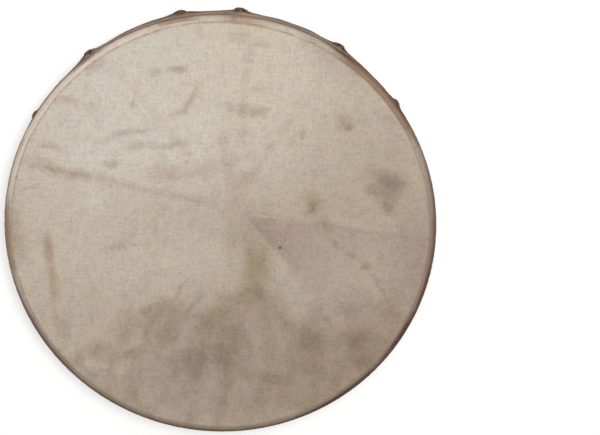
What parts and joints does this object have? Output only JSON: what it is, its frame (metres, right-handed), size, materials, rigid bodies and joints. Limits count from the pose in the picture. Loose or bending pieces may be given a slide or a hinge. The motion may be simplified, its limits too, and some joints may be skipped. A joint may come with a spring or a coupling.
{
  "type": "ceremonial frame drum",
  "caption": "Round hand-held frame drum: a bent wooden hoop with a rawhide head, open at the back behind a web of wound rawhide lacing that meets in a centre grip.",
  "frame": {"origin": "middle of the footprint, on the surface that the drum lies on", "axes": "+Z is the drum's axis and points up out of the playing face; +Y is the top of the playing face as it is looked at; +X is its right side"},
  "size_m": [0.4049, 0.4057, 0.0641],
  "materials": {
    "hoop_wood": "worn reddish brown wood, dull sheen, grain along the bend",
    "head_rawhide": "dry translucent rawhide, matt, mottled and stained by handling",
    "lace_rawhide": "cream rawhide thong, wound and dried hard, ochre in its folds"
  },
  "bodies": {
    "root": {"hoop": "hoop_wood", "drumhead": "head_rawhide", "lacing_northeast": "lace_rawhide", "lacing_northwest": "lace_rawhide", "lacing_southwest": "lace_rawhide", "lacing_southeast": "lace_rawhide", "centre_lashing": "lace_rawhide"}
  },
  "joints": []
}
